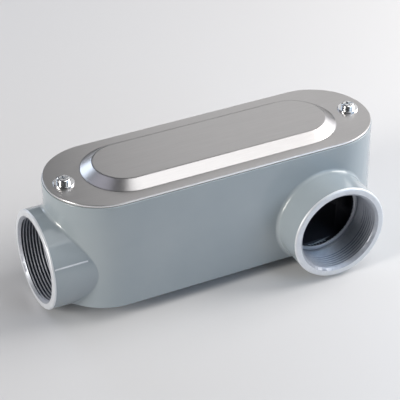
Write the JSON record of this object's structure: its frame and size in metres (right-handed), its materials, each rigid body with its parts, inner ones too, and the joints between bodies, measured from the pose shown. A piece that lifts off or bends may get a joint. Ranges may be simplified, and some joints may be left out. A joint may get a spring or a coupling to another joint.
{
  "type": "conduit body",
  "caption": "Side-outlet conduit body: long round-ended box with a threaded hub on one end and one on the side, and a screwed-on stamped cover.",
  "frame": {"origin": "centre of the end hub's mouth, on that hub's axis", "axes": "+X runs along the end hub's axis into the body, the side hub points to -Y, and +Z is out through the cover"},
  "size_m": [0.2509, 0.1035, 0.0935],
  "materials": {
    "painted_casting": "satin",
    "gasket": "matte",
    "cover_steel": "satin",
    "zinc_plate": "polished"
  },
  "bodies": {
    "root": {"body_casting": "painted_casting", "cover_gasket": "gasket", "cover": "cover_steel", "screw_washers": "zinc_plate", "cover_screws": "zinc_plate"}
  },
  "joints": []
}
